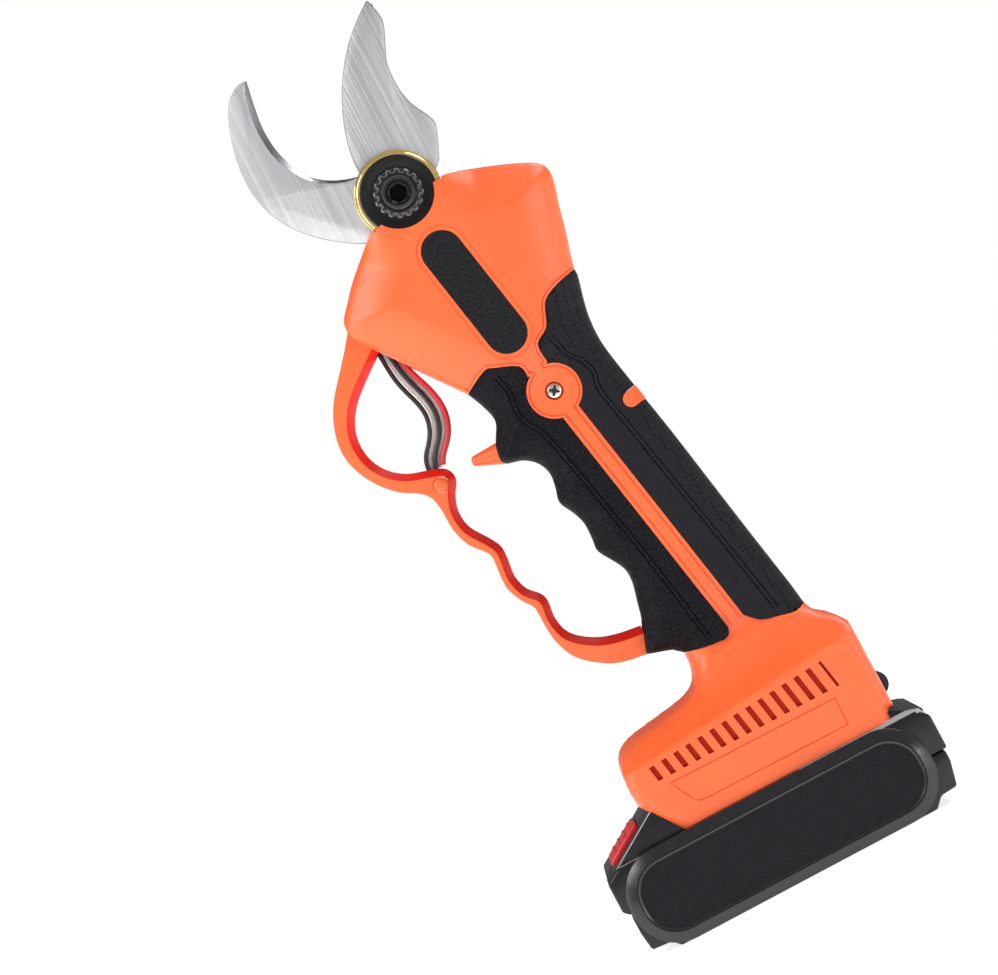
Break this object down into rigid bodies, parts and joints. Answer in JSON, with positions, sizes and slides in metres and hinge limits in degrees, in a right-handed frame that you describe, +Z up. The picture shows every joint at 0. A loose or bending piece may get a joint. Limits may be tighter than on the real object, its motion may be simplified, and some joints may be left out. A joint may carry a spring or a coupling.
{
  "type": "battery electric pruner",
  "caption": "Hand-held battery pruner with a hook blade, a motor-driven cutting blade, a finger guard and a slide-on battery.",
  "frame": {"origin": "centre of the footprint box, on the plane that the battery's flat bottom stands on", "axes": "+Z up from the battery to the blades, -X to the finger guard, -Y to the left side with the lock nut"},
  "size_m": [0.1281, 0.075, 0.3181],
  "materials": {
    "orange_shell": "satin moulded",
    "orange_guard": "satin moulded",
    "grip_rubber": "dotted matt",
    "black_plastic": "fine grained",
    "dark_nut": "matt",
    "blade_steel": "brushed",
    "gear_steel": "machined",
    "zinc_steel": "bright plated",
    "brass": "turned",
    "bronze": "sintered",
    "copper": "bright",
    "magnet": "matt",
    "frame_alloy": "cast",
    "board_green": "solder mask",
    "capacitor_sleeve": "gloss",
    "wire_black": "gloss",
    "wire_white": "gloss",
    "wire_red": "gloss",
    "cell_wrap": "gloss sleeve",
    "red_plastic": "satin"
  },
  "bodies": {
    "tool": {"left_shell": "orange_shell", "right_shell": "orange_shell", "left_finger_grip": "grip_rubber", "right_finger_grip": "grip_rubber", "left_palm_grip": "grip_rubber", "right_palm_grip": "grip_rubber", "left_head_inlay": "black_plastic", "right_head_inlay": "black_plastic", "trigger_guard": "orange_guard", "guard_rivet": "orange_guard", "shell_screws": "zinc_steel", "hook_blade": "blade_steel", "pivot_bolt": "dark_nut", "brass_ring": "brass", "cover_disc": "dark_nut", "lock_nut": "dark_nut", "head_frame": "frame_alloy", "pinion_bearing": "gear_steel", "ring_gear": "gear_steel", "magnets": "magnet", "motor_can": "zinc_steel", "motor_end_cap": "black_plastic", "trigger_spring": "zinc_steel", "trigger_switch": "black_plastic", "control_board": "board_green", "capacitor": "capacitor_sleeve", "wire_black_front": "wire_black", "wire_black_rear": "wire_black", "wire_white_front": "wire_white", "wire_white_rear": "wire_white", "wire_red": "wire_red", "power_bezel": "black_plastic", "terminal_block": "black_plastic", "tool_contacts": "copper"},
    "blade": {"moving_blade": "blade_steel", "blade_gear": "gear_steel", "pivot_bush": "bronze"},
    "carrier": {"planet_carrier": "gear_steel", "bevel_pinion": "gear_steel"},
    "planet_1": {"planet_gear_1": "bronze"},
    "planet_2": {"planet_gear_2": "bronze"},
    "planet_3": {"planet_gear_3": "bronze"},
    "rotor": {"rotor": "copper", "sun_gear": "gear_steel"},
    "trigger": {"trigger_button": "orange_guard"},
    "rocker": {"power_rocker": "black_plastic"},
    "battery": {"battery_lower_case": "black_plastic", "battery_upper_case": "black_plastic", "battery_side_left": "black_plastic", "battery_side_right": "black_plastic", "battery_cell_1": "cell_wrap", "battery_cell_2": "cell_wrap", "battery_cell_3": "cell_wrap", "battery_cell_4": "cell_wrap", "battery_cell_5": "cell_wrap", "battery_board": "board_green", "battery_contacts": "copper", "release_spring": "zinc_steel"},
    "release": {"release_button": "red_plastic"}
  },
  "joints": [
    {"name": "blade_close", "type": "hinge", "parent": "tool", "child": "blade", "pos_m": [-0.008, -0.009, 0.257], "axis": [0, -1, 0], "range_deg": [0, 50]},
    {"name": "carrier_turn", "type": "hinge", "parent": "tool", "child": "carrier", "pos_m": [-0.00317, 0, 0.23044], "axis": [-0.1788, 0, 0.9839], "range_deg": [0, 150]},
    {"name": "planet_1_spin", "type": "hinge", "parent": "carrier", "child": "planet_1", "pos_m": [0.00617, 0, 0.22603], "axis": [-0.1788, 0, 0.9839], "range_deg": [-450, 0]},
    {"name": "planet_2_spin", "type": "hinge", "parent": "carrier", "child": "planet_2", "pos_m": [-0.00623, 0.00728, 0.22378], "axis": [-0.1788, 0, 0.9839], "range_deg": [-450, 0]},
    {"name": "planet_3_spin", "type": "hinge", "parent": "carrier", "child": "planet_3", "pos_m": [-0.00623, -0.00728, 0.22378], "axis": [-0.1788, 0, 0.9839], "range_deg": [-450, 0]},
    {"name": "rotor_spin", "type": "hinge", "parent": "tool", "child": "rotor", "pos_m": [0.00183, 0, 0.20289], "axis": [-0.1788, 0, 0.9839], "range_deg": [0, 600]},
    {"name": "trigger_press", "type": "slide", "parent": "tool", "child": "trigger", "axis": [0.9826, 0, -0.1857], "range_m": [0, 0.0035], "stiffness_N_per_m": 400, "springref_m": -0.002, "deforming": ["trigger_spring"]},
    {"name": "power_rock", "type": "hinge", "parent": "tool", "child": "rocker", "pos_m": [0.0549, 0, 0.0422], "axis": [0, 1, 0], "range_deg": [-8, 8]},
    {"name": "battery_slide", "type": "slide", "parent": "tool", "child": "battery", "axis": [-1, 0, 0], "range_m": [0, 0.06]},
    {"name": "release_press", "type": "slide", "parent": "battery", "child": "release", "axis": [0.527, 0, -0.8499], "range_m": [0, 0.003], "stiffness_N_per_m": 500, "springref_m": -0.003, "deforming": ["release_spring"]}
  ],
  "couplings": [
    {"joint": "carrier_turn", "follows": "blade_close", "ratio": 3},
    {"joint": "planet_1_spin", "follows": "blade_close", "ratio": -9},
    {"joint": "planet_2_spin", "follows": "blade_close", "ratio": -9},
    {"joint": "planet_3_spin", "follows": "blade_close", "ratio": -9},
    {"joint": "rotor_spin", "follows": "blade_close", "ratio": 12}
  ]
}
